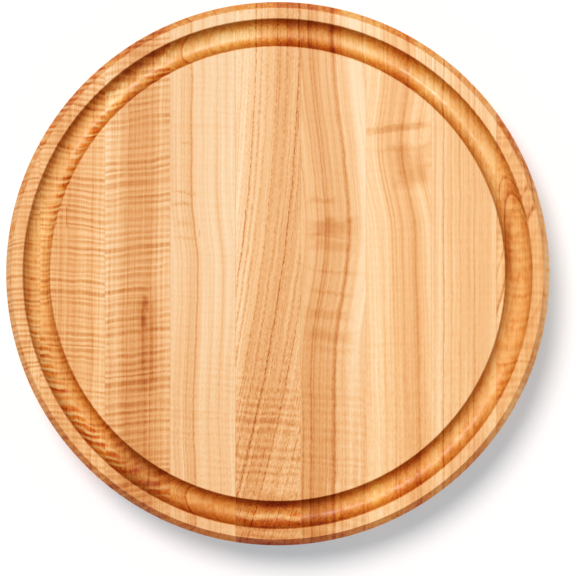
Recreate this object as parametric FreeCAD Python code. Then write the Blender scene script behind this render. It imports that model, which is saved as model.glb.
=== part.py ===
"""Round chopping block: maple staves glued edge to edge, turned round, with a routed juice groove.

The block lies on z = 0 with its middle on the Z axis. The grain runs along Y, so the staves stand
side by side along X, and a film of glue joins each one to the next. Sizes are in millimetres.
"""

import FreeCAD
import Part

import math
import os

# The turned block
BLOCK_DIAMETER = 381.0
BLOCK_THICKNESS = 38.0
EDGE_BEVEL = 4.4  # 45 degree bevel round the top and bottom edges

# The juice groove, cut into the top by a round-nosed cutter
GROOVE_WIDTH = 19.05
GROOVE_DEPTH = 7.5
GROOVE_INSET = 21.5  # from the side of the block to the middle of the groove
LIP_BEVEL = 0.6  # width and depth of the sanded bevel along both lips of the groove

# The glued-up panel
STAVE_WIDTH = 45.55
GLUE_THICKNESS = 0.15
PANEL_SHIFT = -6.75  # middle of the middle stave, from the middle of the block
LEAST_RIM_SHARE = 1 / 3  # of a stave's width: less than that isn't glued on at the rim

# What follows from them
BLOCK_RADIUS = BLOCK_DIAMETER / 2
GROOVE_RADIUS = BLOCK_RADIUS - GROOVE_INSET
CUTTER_RADIUS = (GROOVE_WIDTH ** 2 / 4 + GROOVE_DEPTH ** 2) / (2 * GROOVE_DEPTH)
CUTTER_HEIGHT = BLOCK_THICKNESS - GROOVE_DEPTH + CUTTER_RADIUS
PITCH = STAVE_WIDTH + GLUE_THICKNESS


def on_profile(radius, height):
    """A point of the turned profile, which is drawn in the XZ plane."""
    return FreeCAD.Vector(radius, 0, height)


def bevelled_lip(side):
    """Where the bevel of a groove lip leaves the top face and where it meets the groove.

    side is -1 for the lip nearer the middle of the block and 1 for the lip nearer its edge.
    """
    wall_height = BLOCK_THICKNESS - LIP_BEVEL
    wall_reach = math.sqrt(CUTTER_RADIUS ** 2 - (CUTTER_HEIGHT - wall_height) ** 2)
    on_wall = on_profile(GROOVE_RADIUS + side * wall_reach, wall_height)
    on_top = on_profile(GROOVE_RADIUS + side * (wall_reach + LIP_BEVEL), BLOCK_THICKNESS)
    return on_top, on_wall


def turned_profile():
    """Half the section of the block, from its middle out to the side, with the groove in the top."""
    inner_top, inner_wall = bevelled_lip(-1)
    outer_top, outer_wall = bevelled_lip(1)
    groove_floor = on_profile(GROOVE_RADIUS, BLOCK_THICKNESS - GROOVE_DEPTH)
    outline = [
        inner_wall,
        inner_top,
        on_profile(0, BLOCK_THICKNESS),
        on_profile(0, 0),
        on_profile(BLOCK_RADIUS - EDGE_BEVEL, 0),
        on_profile(BLOCK_RADIUS, EDGE_BEVEL),
        on_profile(BLOCK_RADIUS, BLOCK_THICKNESS - EDGE_BEVEL),
        on_profile(BLOCK_RADIUS - EDGE_BEVEL, BLOCK_THICKNESS),
        outer_top,
        outer_wall,
    ]
    edges = [Part.LineSegment(a, b).toShape() for a, b in zip(outline, outline[1:])]
    edges.append(Part.Arc(outer_wall, groove_floor, inner_wall).toShape())
    return Part.Face(Part.Wire(edges))


def turned_block():
    """The whole block as it leaves the lathe, the router and the sander."""
    return turned_profile().revolve(FreeCAD.Vector(), FreeCAD.Vector(0, 0, 1), 360)


def joint_places():
    """Where the middle of each glue film stands along X, from left to right.

    The joints follow each other at one pitch. A joint that would leave too little of a stave at the
    rim is not made: the last stave is sawn wider instead.
    """
    steps = math.ceil(BLOCK_DIAMETER / PITCH)
    places = [PANEL_SHIFT + (step + 0.5) * PITCH for step in range(-steps, steps)]
    return [x for x in places if abs(x) < BLOCK_RADIUS - LEAST_RIM_SHARE * STAVE_WIDTH]


def sawn_stick(left, right):
    """A stick along Y between two X places, longer and thicker than the finished block."""
    corner = FreeCAD.Vector(left, -BLOCK_DIAMETER, -BLOCK_THICKNESS)
    return Part.makeBox(right - left, 2 * BLOCK_DIAMETER, 3 * BLOCK_THICKNESS, corner)


def stave_name(place):
    """Staves are counted outwards from the middle one: place is 0 there and negative to its left."""
    if place == 0:
        return "middle_stave"
    side = "left" if place < 0 else "right"
    return f"{side}_stave_{abs(place)}"


def glue_name(place):
    """Glue lines are counted outwards too, and none is in the middle: place is never 0."""
    side = "left" if place < 0 else "right"
    return f"{side}_glue_line_{abs(place)}"


def pieces():
    """Every piece by name: the panel's staves and glue films, each cut to the turned block."""
    block = turned_block()
    joints = joint_places()
    left_joints = sum(x < PANEL_SHIFT for x in joints)
    film = GLUE_THICKNESS / 2
    starts = [-BLOCK_DIAMETER] + [x + film for x in joints]
    ends = [x - film for x in joints] + [BLOCK_DIAMETER]
    made = {}
    for number, (start, end) in enumerate(zip(starts, ends)):
        made[stave_name(number - left_joints)] = block.common(sawn_stick(start, end))
    for number, x in enumerate(joints):
        place = number - left_joints
        name = glue_name(place if place < 0 else place + 1)
        made[name] = block.common(sawn_stick(x - film, x + film))
    return made


def main():
    os.makedirs("parts", exist_ok=True)
    for name, shape in pieces().items():
        shape.exportStep(f"parts/{name}.step")
        volume = sum(solid.Volume for solid in shape.Solids)
        print(f"{name}: {len(shape.Solids)} solid, {volume / 1000:.2f} cm3, valid {shape.isValid()}")


main()
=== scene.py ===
"""Round chopping block: nine oiled maple staves, the glue lines between them and a white studio.

The shapes are the packed frame's own. Each stave is dressed as a stick of solid wood: its growth
rings, fibres, curl and stains are fields in space, in millimetres from the middle of the block's
underside, so they run on over the cutting surface, through the groove and down the end grain of the
sides.
"""

import math
from typing import NamedTuple

import bpy
from bpy.props import FloatProperty, FloatVectorProperty, PointerProperty
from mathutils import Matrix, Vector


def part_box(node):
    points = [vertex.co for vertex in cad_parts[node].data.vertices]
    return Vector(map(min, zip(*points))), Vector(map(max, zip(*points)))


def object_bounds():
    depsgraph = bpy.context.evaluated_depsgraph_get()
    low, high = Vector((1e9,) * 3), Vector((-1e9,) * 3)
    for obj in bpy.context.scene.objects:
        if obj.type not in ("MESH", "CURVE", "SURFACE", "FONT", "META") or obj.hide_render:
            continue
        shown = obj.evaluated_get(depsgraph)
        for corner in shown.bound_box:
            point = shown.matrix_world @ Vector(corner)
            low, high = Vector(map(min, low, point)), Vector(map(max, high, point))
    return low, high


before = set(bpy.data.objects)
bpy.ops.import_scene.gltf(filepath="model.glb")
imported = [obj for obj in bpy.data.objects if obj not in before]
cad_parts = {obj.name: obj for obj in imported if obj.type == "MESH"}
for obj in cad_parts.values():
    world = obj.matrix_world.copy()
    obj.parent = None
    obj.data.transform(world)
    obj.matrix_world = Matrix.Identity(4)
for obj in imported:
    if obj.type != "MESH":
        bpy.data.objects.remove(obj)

bl_info = {
    "name": "Round Chopping Block",
    "version": (1, 0, 0),
    "blender": (4, 5, 0),
    "location": "View3D > Sidebar > Chopping Block",
    "description": "Dresses the staves and glue lines of a round maple block and lays a white studio",
    "category": "Object",
}

CAD_LOW, CAD_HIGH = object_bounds()
MM = 0.001
PER_MM = 1 / MM

# The block in millimetres, as the frame holds it
BLOCK_TOP = CAD_HIGH.z * PER_MM
BLOCK_RADIUS = (CAD_HIGH.x - CAD_LOW.x) / 2 * PER_MM


def linear(red, green, blue):
    """A screen colour, each part from 0 to 255, as the linear colour that shaders use."""
    shares = [part / 255 for part in (red, green, blue)]
    return tuple(s / 12.92 if s <= 0.04045 else ((s + 0.055) / 1.055) ** 2.4 for s in shares)


# Settings


class MapleColours(bpy.types.PropertyGroup):
    """The six tones of the timber's colour, from its palest sapwood to its mineral streaks."""

    sapwood: FloatVectorProperty(
        name="Sapwood", description="Palest cream of the sapwood edges", subtype="COLOR",
        default=linear(255, 225, 184), min=0, max=1,
    )
    pale: FloatVectorProperty(
        name="Pale", description="Plain pale maple", subtype="COLOR",
        default=linear(246, 195, 140), min=0, max=1,
    )
    honey: FloatVectorProperty(
        name="Honey", description="Maple that the oil has warmed", subtype="COLOR",
        default=linear(230, 165, 103), min=0, max=1,
    )
    tan: FloatVectorProperty(
        name="Tan", description="The dark sides of curl and rings", subtype="COLOR",
        default=linear(211, 135, 71), min=0, max=1,
    )
    heart: FloatVectorProperty(
        name="Heart", description="Brown heartwood", subtype="COLOR",
        default=linear(190, 105, 43), min=0, max=1,
    )
    mineral: FloatVectorProperty(
        name="Mineral", description="Mineral streaks in the heartwood", subtype="COLOR",
        default=linear(160, 80, 34), min=0, max=1,
    )


class MapleGrain(bpy.types.PropertyGroup):
    """The scale of the timber's grain and how the oil sits in it."""

    fibre_width: FloatProperty(
        name="Fibre width", description="Breadth of the fine streaks along the grain",
        default=1.4 * MM, unit="LENGTH", min=0.1 * MM,
    )
    fibre_length: FloatProperty(
        name="Fibre length", description="Length of the fine streaks along the grain",
        default=120 * MM, unit="LENGTH", min=1 * MM,
    )
    end_oil: FloatProperty(
        name="End grain oil",
        description="How much deeper the colour is where the fibres are cut across",
        default=2.2, min=0, max=4,
    )
    cut_oil: FloatProperty(
        name="Cut oil", description="How much deeper the colour is in the routed groove",
        default=0.42, min=0, max=4,
    )
    edge_oil: FloatProperty(
        name="Edge oil", description="How much deeper the colour is on the bevel round the top edge",
        default=0.5, min=0, max=4,
    )
    # Where the groove is steep its colour deepens: partly the routed wood's oil, partly painted shade.
    wall_oil_and_shade: FloatProperty(
        name="Wall oil", description="How much deeper still the colour is where the groove is steep",
        default=0.7, min=0, max=4,
    )
    blotch_oil: FloatProperty(
        name="Blotch oil", description="How unevenly the groove has taken the oil",
        default=0.3, min=0, max=4,
    )
    roughness: FloatProperty(
        name="Roughness", description="Gloss of the rubbed oil, from mirror to chalk",
        default=0.42, subtype="FACTOR", min=0, max=1,
    )
    shine: FloatProperty(
        name="Shine", description="Strength of the oil's reflections",
        default=0.12, subtype="FACTOR", min=0, max=1,
    )
    coat: FloatProperty(
        name="Coat", description="How much of the wood the rubbed film of oil covers where it is full",
        default=0.5, subtype="FACTOR", min=0, max=1,
    )
    coat_roughness: FloatProperty(
        name="Coat roughness", description="Gloss of that film, from mirror to chalk",
        default=0.25, subtype="FACTOR", min=0, max=1,
    )
    relief: FloatProperty(
        name="Relief", description="Height of the raised fibres",
        default=0.06 * MM, unit="LENGTH", min=0,
    )


class GlueLook(bpy.types.PropertyGroup):
    """The cured glue that shows as a thin line in each joint."""

    colour: FloatVectorProperty(
        name="Colour", description="Cured glue with oil and dust rubbed into it", subtype="COLOR",
        default=linear(176, 112, 62), min=0, max=1,
    )
    roughness: FloatProperty(
        name="Roughness", description="Gloss of the scraped glue",
        default=0.5, subtype="FACTOR", min=0, max=1,
    )


class StudioStage(bpy.types.PropertyGroup):
    """The white floor, the lamps, the sky and the camera above the block."""

    lens: FloatProperty(
        name="Lens", description="Focal length in millimetres, on a 36 mm sensor",
        default=300, min=20,
    )
    view_width: FloatProperty(
        name="View width", description="Breadth of the picture at the widest part of the block",
        default=403.86 * MM, unit="LENGTH", min=0.1,
    )
    view_right: FloatProperty(
        name="View right", description="How far the picture's middle lies right of the block's",
        default=7.19 * MM, unit="LENGTH",
    )
    view_front: FloatProperty(
        name="View front", description="How far the picture's middle lies in front of the block's",
        default=10.05 * MM, unit="LENGTH",
    )
    key_tilt: FloatProperty(
        name="Key tilt", description="Angle of the main lamp from straight above",
        default=math.radians(32), subtype="ANGLE", unit="ROTATION",
    )
    key_bearing: FloatProperty(
        name="Key bearing", description="Where the main lamp stands, turned leftwards from the back",
        default=math.radians(33), subtype="ANGLE", unit="ROTATION",
    )
    key_size: FloatProperty(
        name="Key size", description="How broad the main lamp looks from the block",
        default=math.radians(29), subtype="ANGLE", unit="ROTATION",
    )
    key_share: FloatProperty(
        name="Key share", description="Share of the light on the top that the main lamp gives",
        default=0.59, subtype="FACTOR", min=0, max=1,
    )
    fill_share: FloatProperty(
        name="Fill share", description="Share that the lamp straight above gives",
        default=0.27, subtype="FACTOR", min=0, max=1,
    )
    glint_tilt: FloatProperty(
        name="Glint tilt", description="Angle of the small spot from straight above",
        default=math.radians(20), subtype="ANGLE", unit="ROTATION",
    )
    glint_power: FloatProperty(
        name="Glint power",
        description="Strength of the small spot, which only the oil's gloss reflects",
        default=60, unit="POWER", min=0,
    )
    sky_share: FloatProperty(
        name="Sky share", description="Share that the bright room gives",
        default=0.15, subtype="FACTOR", min=0, max=1,
    )
    floor_colour: FloatVectorProperty(
        name="Floor", description="Colour of the paper that the block lies on, as it catches the light",
        subtype="COLOR", default=(1, 0.87, 0.83), min=0, max=1,
    )
    floor_glow: FloatVectorProperty(
        name="Floor glow",
        description="Light that the paper adds towards the camera, so that it is white",
        subtype="COLOR", default=(0, 0.13, 0.17), min=0, max=1,
    )


# Shader expressions

MIX_FACTOR, MIX_A, MIX_B, MIX_COLOUR = 0, 6, 7, 2  # sockets of a Mix node that mixes colours
SEED_STEPS = (3.7, 1.3, 2.1)  # how far one seed moves a cloud from the next


class Wire:
    """An output socket of a node tree. Python's operators on it add Math nodes to the tree."""

    def __init__(self, socket):
        self.socket = socket
        self.tree = socket.id_data

    def node(self, kind, settings=None, inputs=None):
        """Adds a node: its settings come first, then its sockets get their links or values."""
        made = self.tree.nodes.new(kind)
        for name, value in (settings or {}).items():
            if name == "stops":
                fill_ramp(made.color_ramp, value)
            else:
                setattr(made, name, value)
        for key, value in (inputs or {}).items():
            if isinstance(value, Wire):
                self.tree.links.new(value.socket, made.inputs[key])
            else:
                made.inputs[key].default_value = value
        return made

    def add(self, kind, settings=None, inputs=None, output=0):
        """Adds a node and gives one of its outputs."""
        return Wire(self.node(kind, settings, inputs).outputs[output])

    def math(self, operation, *others):
        """Adds a Math node of this value and others."""
        return self.add("ShaderNodeMath", {"operation": operation}, dict(enumerate((self, *others))))

    def reflected(self, operation, other):
        """Adds a Math node in which another value comes before this one."""
        return self.add("ShaderNodeMath", {"operation": operation}, {0: other, 1: self})

    def __add__(self, other):
        return self.math("ADD", other)

    __radd__ = __add__

    def __sub__(self, other):
        return self.math("SUBTRACT", other)

    def __rsub__(self, other):
        return self.reflected("SUBTRACT", other)

    def __mul__(self, other):
        return self.math("MULTIPLY", other)

    __rmul__ = __mul__

    def __truediv__(self, other):
        return self.math("DIVIDE", other)

    def __rtruediv__(self, other):
        return self.reflected("DIVIDE", other)

    def __neg__(self):
        return self.math("MULTIPLY", -1)

    def __abs__(self):
        return self.math("ABSOLUTE")


def fill_ramp(ramp, stops):
    """Gives a colour ramp its stops, which are pairs of a place from 0 to 1 and a linear colour."""
    while len(ramp.elements) < len(stops):
        ramp.elements.new(1)
    for element, (place, colour) in zip(ramp.elements, stops):
        element.position = place
        element.color = (*colour, 1)


def parts_of(vector):
    """The three numbers of a vector."""
    split = vector.node("ShaderNodeSeparateXYZ", inputs={0: vector})
    return [Wire(output) for output in split.outputs]


def vector_of(x, y, z):
    """A vector of three numbers."""
    return x.add("ShaderNodeCombineXYZ", inputs={0: x, 1: y, 2: z})


def rise(value, start, end):
    """0 before start, 1 past end and a smooth slope between them. It falls where end is below start."""
    ends = {"Value": value, "From Min": start, "From Max": end}
    return value.add("ShaderNodeMapRange", {"interpolation_type": "SMOOTHSTEP"}, ends)


def bell(value, place, reach):
    """1 at a place, and smoothly down to 0 at a reach to either side of it."""
    return rise(abs(value - place), reach, 0)


def cloud(place, sizes, seed, detail=2.0):
    """Cloudy noise of about 0.5, with blobs of those sizes along the three parts of place."""
    scales = [1 / size for size in sizes]
    shift = [seed * step for step in SEED_STEPS]
    scaled = place.add(
        "ShaderNodeVectorMath", {"operation": "MULTIPLY_ADD"}, {0: place, 1: scales, 2: shift},
    )
    return scaled.add("ShaderNodeTexNoise", inputs={"Vector": scaled, "Scale": 1, "Detail": detail})


def chance(value):
    """A number from 0 to 1 drawn for each value."""
    return value.add("ShaderNodeTexWhiteNoise", {"noise_dimensions": "1D"}, {"W": value})


def partly(mask, share):
    """1 where a mask is 1, and less than that by a share where the mask is 0."""
    return 1 - share + mask * share


def mixed(factor, first, second):
    """A colour between two colours."""
    sockets = {MIX_FACTOR: factor, MIX_A: first, MIX_B: second}
    return factor.add("ShaderNodeMix", {"data_type": "RGBA"}, sockets, MIX_COLOUR)


def cleared(holder):
    """The node tree of a new material or world, with nothing in it."""
    holder.use_nodes = True
    holder.node_tree.nodes.clear()
    return holder.node_tree


def place_in(tree):
    """Where a point lies, in millimetres from the middle of the block's underside."""
    metres = Wire(tree.nodes.new("ShaderNodeTexCoord").outputs["Object"])
    return metres.add("ShaderNodeVectorMath", {"operation": "SCALE"}, {0: metres, "Scale": PER_MM})


def bumped(height, strength, distance):
    """The surface's normal, tilted by a height that counts for a distance in metres."""
    inputs = {"Strength": strength, "Distance": distance, "Height": height}
    return height.add("ShaderNodeBump", inputs=inputs)


def lay_surface(wire, sockets):
    """Ends a material with a Principled surface that has those values and links."""
    surface = wire.add("ShaderNodeBsdfPrincipled", inputs=sockets)
    wire.node("ShaderNodeOutputMaterial", inputs={"Surface": surface})


# The timber. Lengths are in millimetres, and cloud sizes go across, along and down a stave.

GAUGE = 100.0  # distance from the middle at which lean, bow and dive are given
PITH_DISTANCE = 95.0  # from the middle of a stave's top to the middle of its tree
FRONT_TONE = (40.0, -180.0)  # along the block: where the tone's change to the front starts and ends
FRONT_CURL = (-40.0, -120.0)  # where the curl of the front part starts and is full
FRONT_FLECKS = (0.0, -100.0)  # where the flecks start to grow stronger and are strongest
WANDER_SIZE = (45, 22, 45)  # of the clouds by which whole rings stray from their line
WANDER = 1.8  # how far they stray
WIGGLE_SIZE = (7, 5, 7)  # of the clouds by which ring edges are unsteady
PATCH_SIZE = (9, 5, 9)  # of the patches in the film of oil
FILM_SPAN = (0.4, 0.6)  # levels of their cloud at which the film starts and is full
STREAK_SCALE = 4  # how much broader and longer the streaks are than the fibres
STREAK_TONE = 0.4
DASH_WIDTH = 0.6  # as a share of a fibre's width
DASH_LENGTH = 2.7
DASH_TONE = 1.7  # how much darker a flecked ring is in its dashes
DASH_SPAN = (0.36, 0.62)  # levels of the dashes' cloud at which such a ring starts and is full
FLECK_SPAN = (0.5, 0.68)  # those at which a dark fleck does
PALE_SPAN = (0.48, 0.32)  # those at which a pale fleck does
PALE_FLECK = 0.6  # how strong a pale fleck is beside a dark one
FLECK_SHARE = 0.5  # share of the flecks that only the front part has
FIBRE_HEIGHT = 0.7  # how high the fibres stand, as a share of the relief
FLECK_DEPTH = 0.5  # how deep the flecks lie, as a share of it
BUMP = 0.5  # how much of the relief shows
FIBRE_GLOSS = 0.25  # how far the fibres vary the roughness
END_GLOSS = 0.1  # how much rougher end grain is
WARM_RED = 0.4  # red that a warm stave gains, for each share of blue that it loses
HEART_PLACE = 0.8  # where the ramp of colours has brown heart, which is tone 1

# Growth rings
RING_LATE = 0.3  # share of a ring that darkens towards its edge
RING_SHARP = 0.06  # share of a ring over which the dark edge ends
RING_RUN = 2.7  # number of rings over which their spacing changes
RING_UNEVEN = 1.2  # how far that moves them, in rings
FADE_TONE = 0.4  # how dark the way is over which a line fades, as a share of the line's tone

# Curl
CURL_DIP = 0.3  # how far the bands move along the stave for each millimetre of depth
WOBBLE_SIZE = (22, 34, 40)  # of the clouds by which the bands wave
WOBBLE = 5  # how far they wave
FIGURE_SIZE = (24, 20, 30)  # of the patches in which the bands are strong
FIGURE_SPAN = (0.3, 0.62)  # levels of their cloud at which such a patch starts and is full
FIGURE_LEAST = 0.4  # strength of the bands outside the patches
FIGURE_MORE = 0.8  # what the patches add to it
COMB_LEAST = 0.2  # strength of the bands between the fibres
COMB_MORE = 1.6  # what the fibres add to it
RIPPLE_SPACING = 0.43  # of the finer bands among them, as a share of their own
RIPPLE_TONE = 0.2
SWELL = 1.5  # how much broader the bands are where the wood is cut at a slope
SWELL_SHIFT = 4  # how far those move along the stave in the strong patches
SWELL_LEAST = 0.4  # their strength between the fibres
SWELL_MORE = 1.2  # what the fibres add to it
BAND_RUN = 2.2  # number of bands over which their spacing changes
BAND_UNEVEN = 1.6  # how far that moves them, in bands
BAND_BLUR = (0.46, 0.04)  # from the middle of a band, in bands: where it starts and where it is full
BAND_LEAST = 0.45  # tone of the faintest band
BAND_SPREAD = 0.75  # how much darker the darkest band is
BAND_GAP = 0.28  # how much paler the wood is between the bands

# Stains
STAIN_FRAY = 10  # how far a stain's ends fray along the grain
STAIN_RAGGED = 1.5  # how broken its outline is
STAIN_BLUR = (1.3, 0.4)  # from its middle, in half sizes: where it starts and where it is full

# Oil
GROOVE_FLOOR = 169.0  # from the middle of the block to the middle of the groove
GROOVE_REACH = 184.0  # from there too: the groove lies within it and the edge bevel outside
BELOW_TOP = (-0.1, -1.0)  # heights over the cutting surface at which cut wood starts and is full
FACING_UP = (0.0, 0.2)  # how far up a face is turned where it starts to count as cut, and does in full
EDGE_BLEND = 2.0  # way over which the groove's oil gives way to the edge's
END_RISE = 1.4  # how fast end grain deepens as the fibres are cut more squarely
END_EASE = 0.8  # how much of that eases off again
TORN_OIL = 0.67  # share of the groove's oil that only wood cut across the fibres takes up
TORN_WALL = 0.4  # that share on the groove's steep walls
BLOTCH_SIZE = (4, 7, 4)  # of the blotches that the oil leaves
BLOTCH_SPAN = (0.5, 0.68)  # levels of their cloud at which a blotch starts and is full
BLOTCH_SEED = 3
FRONT_DEEPENING = 0.0008  # how much deeper the groove's colour is for each millimetre towards the front
PAINTED_WALL_LIGHT = 0.4  # how much paler the groove's outer wall at the front is made where it turns to the back, towards the main lamp: painted light
FRONT_WALL = (0.1, 0.6)  # turn to the back at which that wall starts and is full
WALL_RISE = 6.0  # from the middle of the groove to where it is full
DENSE_HEART = 0.6  # share of the oil that the darkest heart doesn't take up
HEART_SPAN = (0.3, 0.7)  # tones at which that starts and is full
CALM = 0.35  # how much of the curl the oil evens out in the groove and on the edge
SHIMMER = 1.5  # painted sheen: how much more the curl's broad bands are paled between them than deepened in them
GLEAM_SPAN = (-60.0, 60.0)  # along the block: where the front's strength of that painted sheen ends and the back's starts
TURNED = (0.0, 0.22)  # turn to the back, towards the main lamp, at which that painted sheen starts and is full
TURNED_FRONT = 0.001  # how much less of a turn it takes for each millimetre towards the front
END_SHADE = 0.2  # how much darker end grain is than its oil alone makes it
WALL_SHADE = 0.1  # how much darker the groove's steep walls are made: painted shade
TORN_SHADE = 0.2  # what is added to that where they are cut across the fibres: partly the end grain's own darkness, partly painted shade
EDGE_SHADE = 0.1  # how much darker the bevelled edge is made: painted shade that evens out the main lamp's light on it
EDGE_FADE = 0.00045  # how much less that painted shade is for each millimetre to the right, away from the main lamp
GROOVE_RED = 0.07  # red that the oil in the groove takes away
GROOVE_BLUE = 0.1  # blue that it takes away
DEEP_BLUE = 0.3  # blue that the deepest oil takes away
DEEP_SPAN = (1.4, 2.4)  # depths of oil at which that starts and is full


class Line(NamedTuple):
    """A dark ring edge that stands out. Its place is in millimetres across the rings.

    It fades out over a longer way to its left, or to its right where fade is negative.
    """

    place: float
    reach: float
    tone: float
    fade: float = 0.0


class Bend(NamedTuple):
    """A stretch along the stave over which the rings move sideways by a shift, in millimetres."""

    start: float
    end: float
    shift: float


class Stain(NamedTuple):
    """A darker patch that runs down through the stave, or a paler one where its tone is negative.

    Its place and size are in millimetres from the middle of the block. Its slope is how far it
    moves along the stave for each millimetre to the right.
    """

    x: float
    y: float
    width: float
    length: float
    tone: float
    slope: float = 0.0


class Stave(NamedTuple):
    """How one stave is sawn and figured. Tones run from 0, cream sapwood, to 1, brown heart.

    The heart is the darkest place across the stave, and left, right and front say how the tone
    changes towards the two edges and towards the front end. The rings lean and bow, in millimetres
    sideways at 100 mm from the middle, and bend. Their tilt is 0 where they stand upright and 90
    degrees where they lie flat, and they dive, in millimetres downwards at 100 mm behind the middle.
    Wiggle, in millimetres, is how unsteady the ring edges are, and flecked how far they break up
    into short dashes. Curl_front is the share of the curl that lies in the front part alone, and
    gleam is how strongly the painted sheen and shade of the curl's bands show in the front and the
    back part of the groove, on faces turned towards the main lamp. Warmth takes blue away.
    """

    seed: float
    left: float
    heart: float
    right: float
    heart_at: float = 0.0
    left_at: float = 0.0
    right_at: float = 0.0
    front: float = 0.0
    lean: float = 0.0
    bow: float = 0.0
    bends: tuple = ()
    tilt: float = 0.0
    dive: float = 0.0
    ring_spacing: float = 6.0
    ring_tone: float = 0.2
    curl_tone: float = 0.0
    curl_spacing: float = 6.0
    curl_slope: float = 0.0
    curl_front: float = 0.0
    gleam: tuple = (1.5, 1.5)
    fibre_tone: float = 0.45
    wiggle: float = 0.3
    flecked: float = 0.2
    fleck_tone: float = 0.08
    warmth: float = 0.0
    lines: tuple = ()
    stains: tuple = ()


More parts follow.
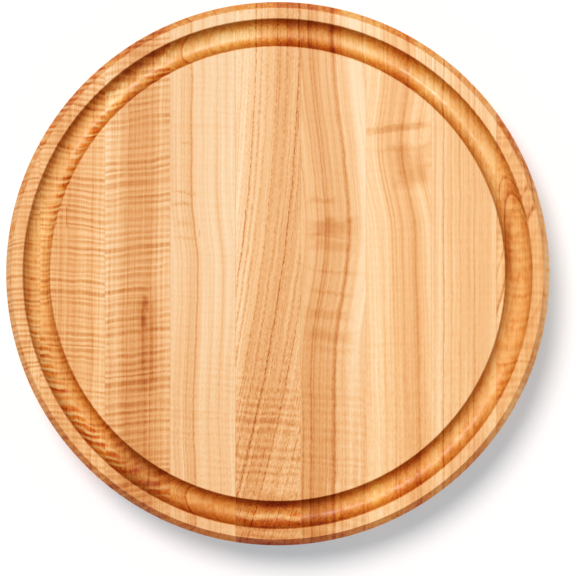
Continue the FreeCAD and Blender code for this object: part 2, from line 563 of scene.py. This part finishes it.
STAVES = {
    "left_stave_4": Stave(
        seed=1, left=0.27, heart=0.33, right=0.29, heart_at=2, tilt=20,
        ring_spacing=5, ring_tone=0.15,
        curl_tone=0.32, curl_spacing=3.8, curl_slope=0.05, gleam=(2, 2),
        fibre_tone=0.5, warmth=0.05,
        # The strip at -189 lies along the left bevel, which the main lamp lights: painted shade that
        # evens it with the right one.
        stains=(Stain(-172, 5, 30, 70, 0.07), Stain(-189, 0, 6, 200, 0.08)),
    ),
    "left_stave_3": Stave(
        seed=2, left=0.34, heart=0.42, right=0.28, heart_at=-9, front=0.06, lean=1,
        ring_spacing=4.5, ring_tone=0.16,
        curl_tone=0.32, curl_spacing=4, curl_slope=-0.09, gleam=(4, 3.5),
        fibre_tone=0.5, warmth=0.05,
        stains=(Stain(-147.7, 38.5, 0.9, 14, 0.4), Stain(-129.5, -53, 0.9, 40, 0.25)),
    ),
    "left_stave_2": Stave(
        seed=3, left=0.2, heart=0.51, right=0.28, heart_at=0, front=0.2, lean=1,
        ring_spacing=4, ring_tone=0.24,
        curl_tone=0.3, curl_spacing=5, curl_slope=0.11, gleam=(4, 1.2), fibre_tone=0.6,
        stains=(
            Stain(-91.5, -48, 15, 70, 0.13), Stain(-99, -138, 50, 40, 0.04),
            Stain(-92.4, -20, 4, 12, 0.3), Stain(-93.8, -33, 4, 10, 0.3),
            Stain(-94.5, -45, 1.6, 60, 0.22), Stain(-88, -50, 1.4, 60, 0.2),
            Stain(-99, 133, 46, 13, -0.2, 0.73),
        ),
    ),
    "left_stave_1": Stave(
        seed=4, left=0.15, heart=0.16, right=0.1, heart_at=-8, front=0.13, tilt=-37,
        bends=(Bend(55, 3, 4.2), Bend(-9, -100, -2.8), Bend(-110, -150, 1.4)),
        ring_spacing=6, ring_tone=0.14,
        curl_tone=0.06, curl_spacing=5, curl_slope=-0.06, curl_front=0.4,
        fibre_tone=0.32, warmth=-0.03,
        lines=(
            Line(-14.2, 0.6, 0.12), Line(-11.6, 0.6, 0.16),
            Line(-9.9, 0.5, 0.1), Line(-6.2, 0.8, 0.24, 5),
        ),
        stains=(
            Stain(-63.7, 91.5, 9, 2.4, 0.14), Stain(-64, 56.4, 17, 2.2, 0.16, -0.1),
            Stain(-68, 48.3, 14, 2.4, 0.16), Stain(-66, 35, 12, 3, 0.1),
            Stain(-64, 24.6, 14, 2.4, 0.1, -0.1), Stain(-54.6, 28.7, 0.9, 6, 0.3),
            Stain(-53, -176, 50, 34, 0.08),
        ),
    ),
    "middle_stave": Stave(
        seed=5, left=0.13, heart=0.38, right=0.24, heart_at=7, left_at=-30, right_at=44,
        front=0.13, lean=14, bow=-4, ring_spacing=4.5, ring_tone=0.24,
        wiggle=0.4, flecked=0.65, fleck_tone=0.2, fibre_tone=0.55,
        curl_tone=0.22, curl_spacing=6, curl_slope=-0.06, curl_front=1, gleam=(4, 1),
        lines=(
            Line(-20.5, 0.9, 0.36), Line(-5.3, 0.8, 0.26), Line(2, 0.7, 0.12),
            Line(9.6, 0.9, 0.27, 2), Line(13.5, 0.7, 0.16), Line(21, 0.8, 0.2),
            Line(25.5, 0.9, 0.28), Line(36, 0.8, 0.2),
        ),
        stains=(
            Stain(14.4, 105.7, 0.9, 12, 0.3), Stain(-29, -50, 11, 240, -0.08),
            Stain(-1, -160, 26, 10, 0.22), Stain(-7, -185, 46, 17, 0.18),
        ),
    ),
    "right_stave_1": Stave(
        seed=6, left=0.22, heart=0.4, right=0.08, heart_at=-2, left_at=-30, right_at=26,
        front=0.16, bends=(Bend(25, 175, -12), Bend(30, -65, -10.5)),
        ring_spacing=5, ring_tone=0.22,
        curl_tone=0.1, curl_spacing=6, curl_slope=-0.1, curl_front=0.8,
        fibre_tone=0.5, wiggle=0.4,
        lines=(
            Line(-10.7, 1.2, 0.16), Line(-5.1, 1.4, 0.28),
            Line(0.5, 0.9, 0.1), Line(11, 2.6, 0.24, 4),
        ),
        stains=(
            Stain(31, 51.3, 20, 5, 0.14), Stain(39, 32.4, 34, 13, 0.16),
            Stain(33, 31.7, 18, 12, 0.1), Stain(39, 26, 38, 2, 0.1, -0.13),
            Stain(37, 20, 30, 9, 0.13, -0.1), Stain(39.4, 1.2, 36, 3, 0.12, -0.12),
            Stain(38, -14, 30, 3, 0.12, -0.15), Stain(35, -28.5, 34, 7, 0.13, -0.08),
            Stain(36, -43.7, 36, 9, 0.14, -0.1), Stain(38, -53, 34, 3, 0.08, -0.1),
            Stain(38, 181, 50, 16, -0.06, -0.2), Stain(39, -175, 50, 40, 0.07),
            Stain(49, 162, 24, 22, 0.12, -0.3), Stain(39, -172, 8, 50, -0.2),
        ),
    ),
    "right_stave_2": Stave(
        seed=7, left=0.13, heart=0.33, right=0.18, heart_at=3, left_at=-24, right_at=15,
        front=0.05, lean=-2, bends=(Bend(92, 145, 5.6), Bend(88, 25, 8.5)),
        ring_spacing=7, ring_tone=0.18, curl_tone=0.03, warmth=0.05,
        lines=(Line(4, 1.7, 0.15, 4), Line(-9.8, 1.2, 0.15)),
        stains=(
            Stain(83, 101.5, 47, 5, 0.24, 0.13), Stain(101, 107, 8, 9, 0.1, 0.5),
            Stain(84, 87, 42, 4, 0.09, 0.05), Stain(94, 76, 27, 30, 0.18, 0.1),
            Stain(99, 70, 14, 18, 0.08), Stain(84, 164, 50, 16, -0.07, -0.52),
        ),
    ),
    "right_stave_3": Stave(
        seed=8, left=0.16, heart=0.29, right=0.22, heart_at=11, ring_spacing=5.5, ring_tone=0.4,
        curl_tone=0.02, warmth=0.03, lines=(Line(3.5, 0.8, 0.2),),
        stains=(Stain(130, 131, 50, 24, -0.1, -1), Stain(130, -134, 50, 40, 0.07)),
    ),
    "right_stave_4": Stave(
        seed=9, left=0.34, heart=0.38, right=0.36, heart_at=6, tilt=109, dive=14,
        ring_spacing=4, ring_tone=0.2, curl_tone=0.13, warmth=0.1,
        lines=(Line(4.2, 0.7, 0.34, -3), Line(7.4, 0.6, 0.26)),
        stains=(
            Stain(161.6, 19, 5.6, 46, 0.3), Stain(180, -30, 12, 110, 0.06),
            # The strip at 189.5 lies along the right bevel, turned away from the main lamp: painted
            # light that evens it with the left one.
            Stain(189.5, -10, 6, 220, -0.17), Stain(164, -92, 14, 9, -0.2, 1.7),
            Stain(155, -12, 10, 80, -0.2), Stain(165, 90.5, 30, 7, 0.22, -1.75),
        ),
    ),
}


def drift(y, stave):
    """How far the rings have moved sideways at a place along the stave: lean, bow and bends."""
    moved = y * (stave.lean / GAUGE) + y * y * (stave.bow / GAUGE ** 2)
    for bend in stave.bends:
        moved = moved + rise(y, bend.start, bend.end) * bend.shift
    return moved


def across_rings(u, w, stave):
    """Distance outwards from the ring that passes through the top of the stave's middle.

    The rings are cylinders about the pith, so it is the distance from the pith less that ring's
    radius.
    """
    tilt = math.radians(stave.tilt)
    sideways = u + PITH_DISTANCE * math.cos(tilt)
    upwards = w + PITH_DISTANCE * math.sin(tilt)
    return (sideways * sideways + upwards * upwards).math("SQRT") - PITH_DISTANCE


def uneven_count(value, spacing, run, uneven, seed):
    """A count that goes up by about 1 for each spacing, and by more or less as a cloud has it."""
    return value / spacing + cloud(vector_of(value, 0, 0), (spacing * run,) * 3, seed) * uneven


def growth_rings(across, stave):
    """Darkness of the growth rings: each darkens slowly and ends sharply, as far as chance has it."""
    count = uneven_count(across, stave.ring_spacing, RING_RUN, RING_UNEVEN, stave.seed)
    edge = count.math("ROUND")
    before = count - edge
    late = rise(before, -RING_LATE, 0) * rise(before, RING_SHARP, 0)
    dark = chance(edge + stave.seed)
    rings = late * dark * dark * stave.ring_tone
    for line in stave.lines:
        rings = rings + bell(across, line.place, line.reach) * line.tone
        if line.fade:
            shade = rise(across, line.place - line.fade, line.place)
            far_side = line.place + math.copysign(line.reach, line.fade)
            rings = rings + shade * rise(across, far_side, line.place) * line.tone * FADE_TONE
    return rings


def curl_bands(grain, fibres, stave):
    """Bands across the grain, where the fibres wave in and out of the face: uneven and combed.

    Gives them as they show on a flat face, and the broader ones that show where it is cut at a slope.
    """
    u, y, w = parts_of(grain)
    wobble = cloud(grain, WOBBLE_SIZE, stave.seed + 11) * WOBBLE
    along = y - u * stave.curl_slope - w * CURL_DIP + wobble
    bands = bands_along(along, stave.curl_spacing, stave.seed + 17)
    ripples = bands_along(along, stave.curl_spacing * RIPPLE_SPACING, stave.seed + 19)
    patches = rise(cloud(grain, FIGURE_SIZE, stave.seed + 23), *FIGURE_SPAN)
    shifted = along + patches * SWELL_SHIFT
    swell = bands_along(shifted, stave.curl_spacing * SWELL, stave.seed + 29)
    share = partly(rise(y, *FRONT_CURL), stave.curl_front) * stave.curl_tone
    strength = FIGURE_LEAST + patches * FIGURE_MORE
    combed = COMB_LEAST + fibres * COMB_MORE
    figure = (bands + ripples * RIPPLE_TONE) * strength * combed
    return figure * share, swell * (SWELL_LEAST + fibres * SWELL_MORE) * share


def bands_along(along, spacing, seed):
    """Dark bands at an uneven spacing, as dark as chance has it, and less than nothing between them."""
    count = uneven_count(along, spacing, BAND_RUN, BAND_UNEVEN, seed)
    band = count.math("ROUND")
    dark = BAND_LEAST + chance(band + seed) * BAND_SPREAD
    return rise(abs(count - band), *BAND_BLUR) * dark - BAND_GAP


def stain_mask(x, y, stain, ragged):
    """A patch: 1 in its middle, 0 outside, and broken up along its edges."""
    over = abs(x - stain.x) / (stain.width / 2)
    level = y - stain.y - (x - stain.x) * stain.slope
    along = abs(level + (ragged - 0.5) * STAIN_FRAY) / (stain.length / 2)
    return rise(over.math("MAXIMUM", along) + (ragged - 0.5) * STAIN_RAGGED, *STAIN_BLUR)


def heart_tone(across, y, stave, half_width):
    """The broad tone: sapwood edges, a darker heart between them, and the change to the front."""
    to_left = rise(across, stave.heart_at, stave.left_at or -half_width)
    to_right = rise(across, stave.heart_at, stave.right_at or half_width)
    tone = stave.heart + to_left * (stave.left - stave.heart) + to_right * (stave.right - stave.heart)
    return tone + rise(y, *FRONT_TONE) * stave.front


def soaked(wood, broad, bands, place, w, normal, stave, look):
    """The wood's colour, deeper and more golden where oil soaks in: end grain, edge and groove.

    Dark heart is dense and takes up less of it. On the edge and in the groove, curly wood gets
    painted sheen between its broad bands and painted shade in them where the surface is turned to
    the back, towards the main lamp, and is calmer elsewhere. The groove's steep walls also get
    painted shade, its outer wall at the front painted light where it turns to the lamp, and the
    bevel painted shade that is strongest on the left, where the lamp lights it.
    """
    x, y, _ = parts_of(place)
    _, facing_end, facing_up = parts_of(normal)
    reach = (x * x + y * y).math("SQRT")
    torn = y * y / (reach * reach)
    steep = 1 - facing_up * facing_up
    squarely = facing_end * facing_end

    shaped = rise(w, *BELOW_TOP) * rise(facing_up, *FACING_UP)
    edge = shaped * rise(reach, GROOVE_REACH - EDGE_BLEND, GROOVE_REACH)
    groove = shaped - edge
    outer_wall = rise(reach, GROOVE_FLOOR, GROOVE_FLOOR + WALL_RISE)
    lamp_facing_wall = rise(facing_end, *FRONT_WALL) * outer_wall
    ends = squarely * (END_RISE - squarely * END_EASE)
    blotch = rise(cloud(place, BLOTCH_SIZE, BLOTCH_SEED), *BLOTCH_SPAN)
    # The steep walls' share is partly the routed wood's oil, partly painted shade.
    cut = partly(torn, TORN_OIL) * look.cut_oil + steep * partly(torn, TORN_WALL) * look.wall_oil_and_shade
    # The outer wall at the front, turned to the back towards the main lamp, is made paler: painted
    # light.
    cut = cut + blotch * look.blotch_oil - y * FRONT_DEEPENING - lamp_facing_wall * PAINTED_WALL_LIGHT

    figure, swell = bands
    # Painted sheen and shade of the curl: where the surface turns to the back, towards the main lamp,
    # its broad bands are paled between them and deepened in them.
    gleam_front, gleam_back = stave.gleam
    gleam = gleam_front + rise(y, *GLEAM_SPAN) * (gleam_back - gleam_front)
    turned = rise(facing_end - y * TURNED_FRONT, *TURNED)
    golden = swell - (-swell).math("MAXIMUM", 0) * SHIMMER
    painted_sheen = golden * turned * gleam - figure * CALM

    taken = ends * look.end_oil + groove * cut + edge * blotch * look.edge_oil + shaped * painted_sheen
    drawn = 1 - rise(broad, *HEART_SPAN) * DENSE_HEART
    oil = (1 + taken * drawn).math("MAXIMUM", 1)
    deep = wood.add("ShaderNodeGamma", inputs={"Color": wood, "Gamma": oil})
    # End grain's own darkness, and painted shade on the groove's steep walls.
    clear = 1 - ends * END_SHADE - groove * steep * (WALL_SHADE + torn * TORN_SHADE)
    # Painted shade on the bevel, strongest on the left where the main lamp lights it, so that it
    # matches the bevel turned away on the right.
    clear = clear - edge * (EDGE_SHADE - x * EDGE_FADE)
    red = clear * (1 - groove * GROOVE_RED)
    blue = clear * (1 - groove * GROOVE_BLUE) * (1 - rise(oil, *DEEP_SPAN) * DEEP_BLUE)
    tint = vector_of(red, clear, blue)
    return deep.add("ShaderNodeVectorMath", {"operation": "MULTIPLY"}, {0: deep, 1: tint})


def warmed(colour, warmth):
    """A colour with some of its blue taken away and a little red added."""
    red, green, blue = colour
    return (min(1, red * (1 + WARM_RED * warmth)), green, blue * (1 - warmth))


def stave_material(name, stave, colours, look):
    """Oiled maple: one tone, made of heart, rings, fibres, curl and stains, drives colour and gloss."""
    material = bpy.data.materials.new(name)
    place = place_in(cleared(material))
    x, y, z = parts_of(place)
    low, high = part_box(name)
    middle = (low.x + high.x) / 2 * PER_MM
    half_width = (high.x - low.x) / 2 * PER_MM

    wander = (cloud(place, WANDER_SIZE, stave.seed) - 0.5) * WANDER
    wiggle = (cloud(place, WIGGLE_SIZE, stave.seed + 1) - 0.5) * 2 * stave.wiggle
    u = x - middle - drift(y, stave) + (wander + wiggle)
    w = z - BLOCK_TOP
    grain = vector_of(u, y, w)
    across = across_rings(u, w + y * (stave.dive / GAUGE), stave)

    width, length = look.fibre_width * PER_MM, look.fibre_length * PER_MM
    fibre = (width, length, width)
    dash = (width * DASH_WIDTH, DASH_LENGTH, width * DASH_WIDTH)
    fibres = cloud(grain, fibre, stave.seed + 3, detail=3)
    streaks = cloud(grain, [size * STREAK_SCALE for size in fibre], stave.seed + 5)
    dashes = cloud(grain, dash, stave.seed + 7, detail=3)
    patchy = cloud(grain, PATCH_SIZE, stave.seed + 9)
    ragged = (fibres + patchy) / 2

    broken = 1 - stave.flecked + rise(dashes, *DASH_SPAN) * DASH_TONE * stave.flecked
    rings = growth_rings(across, stave) * broken
    flecks = rise(dashes, *FLECK_SPAN) - rise(dashes, *PALE_SPAN) * PALE_FLECK
    front_flecks = flecks * partly(rise(y, *FRONT_FLECKS), FLECK_SHARE)
    figure, swell = curl_bands(grain, fibres, stave)
    broad = heart_tone(across, y, stave, half_width)
    tone = broad + (fibres - 0.5) * stave.fibre_tone + (streaks - 0.5) * STREAK_TONE
    tone = tone + rings + front_flecks * stave.fleck_tone + figure
    for stain in stave.stains:
        tone = tone + stain_mask(x, y, stain, ragged) * stain.tone

    tones = (
        colours.sapwood, colours.pale, colours.honey, colours.tan, colours.heart, colours.mineral,
    )
    last = len(tones) - 1
    stops = [(number / last, warmed(colour, stave.warmth)) for number, colour in enumerate(tones)]
    wood = tone.add("ShaderNodeValToRGB", {"stops": stops}, {0: tone * HEART_PLACE})
    normal = tone.add("ShaderNodeNewGeometry", output="Normal")
    _, facing_end, _ = parts_of(normal)
    height = fibres * FIBRE_HEIGHT - flecks * FLECK_DEPTH - rings
    sockets = {
        "Base Color": soaked(wood, broad, (figure, swell), place, w, normal, stave, look),
        "Roughness": look.roughness + (fibres - 0.5) * FIBRE_GLOSS + abs(facing_end) * END_GLOSS,
        "Normal": bumped(height, BUMP, look.relief),
        "Specular IOR Level": look.shine,
        "Coat Weight": rise(ragged, *FILM_SPAN) * look.coat,
        "Coat Roughness": look.coat_roughness,
    }
    lay_surface(tone, sockets)
    return material


# The glue

GLUE_SIZE = (4, 14, 6)  # of the places that were planed thin, in millimetres
GLUE_SEED = 31
THIN_SPAN = (0.35, 0.7)  # levels of their cloud at which such a place starts and is full
THIN_GLUE = 1.9  # how much paler the glue is there
GLUE_GLOSS = 0.2  # how far they vary its roughness
GLUE_RELIEF = 0.05 * MM  # height of its scraped surface
GLUE_BUMP = 0.3  # how much of that shows


def glue_material(look):
    """Cured glue: a scraped brown film, paler where it was planed thin."""
    material = bpy.data.materials.new("cured_glue")
    thin = cloud(place_in(cleared(material)), GLUE_SIZE, GLUE_SEED, detail=3)
    pale = [min(1, part * THIN_GLUE) for part in look.colour]
    sockets = {
        "Base Color": mixed(rise(thin, *THIN_SPAN), (*look.colour, 1), (*pale, 1)),
        "Roughness": look.roughness + (thin - 0.5) * GLUE_GLOSS,
        "Normal": bumped(thin, GLUE_BUMP, GLUE_RELIEF),
    }
    lay_surface(thin, sockets)
    return material


def dress(node, material):
    """Puts a material in every slot of a frame node."""
    if not node.material_slots:
        raise RuntimeError(f"{node.name} has no material slot")
    for slot in node.material_slots:
        slot.material = material


# The stage. Lengths are in metres.

WHITE = (1, 1, 1, 1)
FLOOR_GAP = 0.2 * MM  # between the floor and the block's underside
FLOOR_SPREAD = 20  # from the middle of the floor to its sides, in radii of the block
GLOW_SPAN = (-2.0, 1.0)  # millimetres past the block's side: where the glow starts and is full
FILL_SIZE = math.radians(4)  # how broad the lamp straight above looks from the block
GLINT_BEARING = math.radians(-40)  # where the small spot stands, turned leftwards from the back
GLINT_CONE = math.radians(8)  # how wide it shines
GLINT_SIZE = 0.03  # its radius
GLINT_HEIGHT = 2.0  # from the groove to it
GLINT_REACH = 168.0 * MM  # from the middle of the block to where it points
SENSOR_WIDTH = 36  # of the camera, in millimetres
WIDEST = 0.1 * MM  # points that lie no further in than this still count as the widest


def put_in_scene(name, data):
    """A new object in the scene that holds a mesh, a lamp or a camera."""
    made = bpy.data.objects.new(name, data)
    bpy.context.scene.collection.objects.link(made)
    return made


def seen_directly(tree):
    """1 for what the camera sees, also by mirror or through glass, and 0 for what lights the block."""
    path = tree.nodes.new("ShaderNodeLightPath")
    kinds = ("Camera", "Glossy", "Transmission")
    camera, glossy, through = [Wire(path.outputs[f"Is {kind} Ray"]) for kind in kinds]
    return camera.math("MAXIMUM", glossy).math("MAXIMUM", through)


def floor_material(stage):
    """White paper: it takes the block's shadow and is clear from below.

    It glows a little towards the camera, but not under the block's side.
    """
    material = bpy.data.materials.new("white_paper")
    place = place_in(cleared(material))
    reach = place.add("ShaderNodeVectorMath", {"operation": "LENGTH"}, {0: place}, "Value")
    open_air = rise(reach - BLOCK_RADIUS, *GLOW_SPAN)
    matt = place.add("ShaderNodeBsdfDiffuse", inputs={"Color": (*stage.floor_colour, 1)})
    glow = place.add("ShaderNodeEmission", inputs={"Color": (*stage.floor_glow, 1)})
    bright = place.add("ShaderNodeAddShader", inputs={0: matt, 1: glow})
    factor = seen_directly(place.tree) * open_air
    paper = place.add("ShaderNodeMixShader", inputs={0: factor, 1: matt, 2: bright})
    from_below = place.add("ShaderNodeNewGeometry", output="Backfacing")
    way = place.add("ShaderNodeLightPath", output="Ray Length")
    clear = place.add("ShaderNodeBsdfTransparent")
    hidden = from_below.math("MAXIMUM", way.math("LESS_THAN", 2 * FLOOR_GAP))
    laid = place.add("ShaderNodeMixShader", inputs={0: hidden, 1: paper, 2: clear})
    place.node("ShaderNodeOutputMaterial", inputs={"Surface": laid})
    return material


def lay_floor(stage):
    """A square of white paper just under the block, far larger than the picture."""
    half = FLOOR_SPREAD * BLOCK_RADIUS * MM
    mesh = bpy.data.meshes.new("floor")
    flat = [(-half, -half), (half, -half), (half, half), (-half, half)]
    corners = [(x, y, CAD_LOW.z - FLOOR_GAP) for x, y in flat]
    mesh.from_pydata(corners, [], [(0, 1, 2, 3)])
    mesh.materials.append(floor_material(stage))
    floor = put_in_scene("floor", mesh)


def hang_lamp(name, tilt, bearing, size, share):
    """A far lamp that gives the top its share of the light.

    It hangs at a tilt from straight above and at a bearing that turns leftwards from the back.
    """
    lamp = bpy.data.lights.new(name, "SUN")
    lamp.angle = size
    lamp.energy = share * math.pi / math.cos(tilt)
    hung = put_in_scene(name, lamp)
    hung.rotation_euler = (-tilt, 0, bearing)
    return hung


def hang_glint(stage):
    """A narrow spot over the back right of the groove, which leaves a fine glint along its floor."""
    lamp = bpy.data.lights.new("glint_spot", "SPOT")
    lamp.energy = stage.glint_power
    lamp.spot_size = GLINT_CONE
    lamp.spot_blend = 1
    lamp.shadow_soft_size = GLINT_SIZE
    outwards = math.sin(stage.glint_tilt) * GLINT_HEIGHT + GLINT_REACH
    upwards = math.cos(stage.glint_tilt) * GLINT_HEIGHT + CAD_HIGH.z
    rightwards = -math.sin(GLINT_BEARING) * outwards
    backwards = math.cos(GLINT_BEARING) * outwards
    hung = put_in_scene("glint_spot", lamp)
    hung.location = (rightwards, backwards, upwards)
    hung.rotation_euler = (-stage.glint_tilt, 0, GLINT_BEARING)
    hung.visible_diffuse = False


def light_room(stage):
    """A dim even sky for the block, which the camera sees as white."""
    world = bpy.data.worlds.new("white_room")
    seen = seen_directly(cleared(world))
    sky = seen.add("ShaderNodeBackground", inputs={"Color": WHITE, "Strength": stage.sky_share})
    white = seen.add("ShaderNodeBackground", inputs={"Color": WHITE, "Strength": 1})
    room = seen.add("ShaderNodeMixShader", inputs={0: seen, 1: sky, 2: white})
    seen.node("ShaderNodeOutputWorld", inputs={"Surface": room})
    bpy.context.scene.world = world


def widest_height():
    """The height at which the block is widest, in metres: the top of its upright side."""
    points = [v.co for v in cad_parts["middle_stave"].data.vertices]
    reach = max(math.hypot(p.x, p.y) for p in points)
    return max(p.z for p in points if math.hypot(p.x, p.y) > reach - WIDEST)


def stand_camera(stage):
    """A camera straight above the block, with the back of the block at the top of the picture."""
    camera = bpy.data.cameras.new("camera")
    camera.sensor_width = SENSOR_WIDTH
    camera.lens = stage.lens
    above = stage.view_width * camera.lens / camera.sensor_width
    stand = put_in_scene("camera", camera)
    stand.location = (stage.view_right, -stage.view_front, widest_height() + above)
    bpy.context.scene.camera = stand


# Operators, panel and registration


class CHOPPING_OT_dress_staves(bpy.types.Operator):
    """Give each stave its own oiled maple"""

    bl_idname = "chopping.dress_staves"
    bl_label = "Dress Staves"

    def execute(self, context):
        scene = context.scene
        for name, stave in STAVES.items():
            material = stave_material(name, stave, scene.maple_colours, scene.maple_grain)
            dress(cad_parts[name], material)
        return {"FINISHED"}


class CHOPPING_OT_dress_glue_lines(bpy.types.Operator):
    """Give the glue lines between the staves their cured glue"""

    bl_idname = "chopping.dress_glue_lines"
    bl_label = "Dress Glue Lines"

    def execute(self, context):
        material = glue_material(context.scene.glue_look)
        for name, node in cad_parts.items():
            if "glue_line" in name:
                dress(node, material)
        return {"FINISHED"}


class CHOPPING_OT_lay_stage(bpy.types.Operator):
    """Lay the white floor, hang the lamps and stand the camera above the block"""

    bl_idname = "chopping.lay_stage"
    bl_label = "Lay Stage"

    def execute(self, context):
        stage = context.scene.studio_stage
        lay_floor(stage)
        hang_lamp("key_lamp", stage.key_tilt, stage.key_bearing, stage.key_size, stage.key_share)
        fill = hang_lamp("fill_lamp", 0, 0, FILL_SIZE, stage.fill_share)
        fill.visible_glossy = False
        hang_glint(stage)
        light_room(stage)
        stand_camera(stage)
        context.scene.view_settings.view_transform = "Standard"
        return {"FINISHED"}


class CHOPPING_PT_block(bpy.types.Panel):
    """The block's settings, and the steps that dress it"""

    bl_idname = "CHOPPING_PT_block"
    bl_label = "Round Chopping Block"
    bl_space_type = "VIEW_3D"
    bl_region_type = "UI"
    bl_category = "Chopping Block"

    def draw(self, context):
        for step in STEPS:
            self.layout.operator(step.bl_idname)
        for attribute, group in SETTINGS.items():
            box = self.layout.box()
            box.label(text=group.__doc__)
            for setting in group.__annotations__:
                box.prop(getattr(context.scene, attribute), setting)


SETTINGS = {
    "maple_colours": MapleColours,
    "maple_grain": MapleGrain,
    "glue_look": GlueLook,
    "studio_stage": StudioStage,
}
STEPS = (CHOPPING_OT_dress_staves, CHOPPING_OT_dress_glue_lines, CHOPPING_OT_lay_stage)
CLASSES = (*SETTINGS.values(), *STEPS, CHOPPING_PT_block)


def register():
    for kind in CLASSES:
        bpy.utils.register_class(kind)
    for attribute, group in SETTINGS.items():
        setattr(bpy.types.Scene, attribute, PointerProperty(type=group))


def unregister():
    for attribute in SETTINGS:
        delattr(bpy.types.Scene, attribute)
    for kind in reversed(CLASSES):
        bpy.utils.unregister_class(kind)


def main():
    register()
    bpy.ops.chopping.dress_staves()
    bpy.ops.chopping.dress_glue_lines()
    bpy.ops.chopping.lay_stage()


if __name__ == "__main__":
    main()
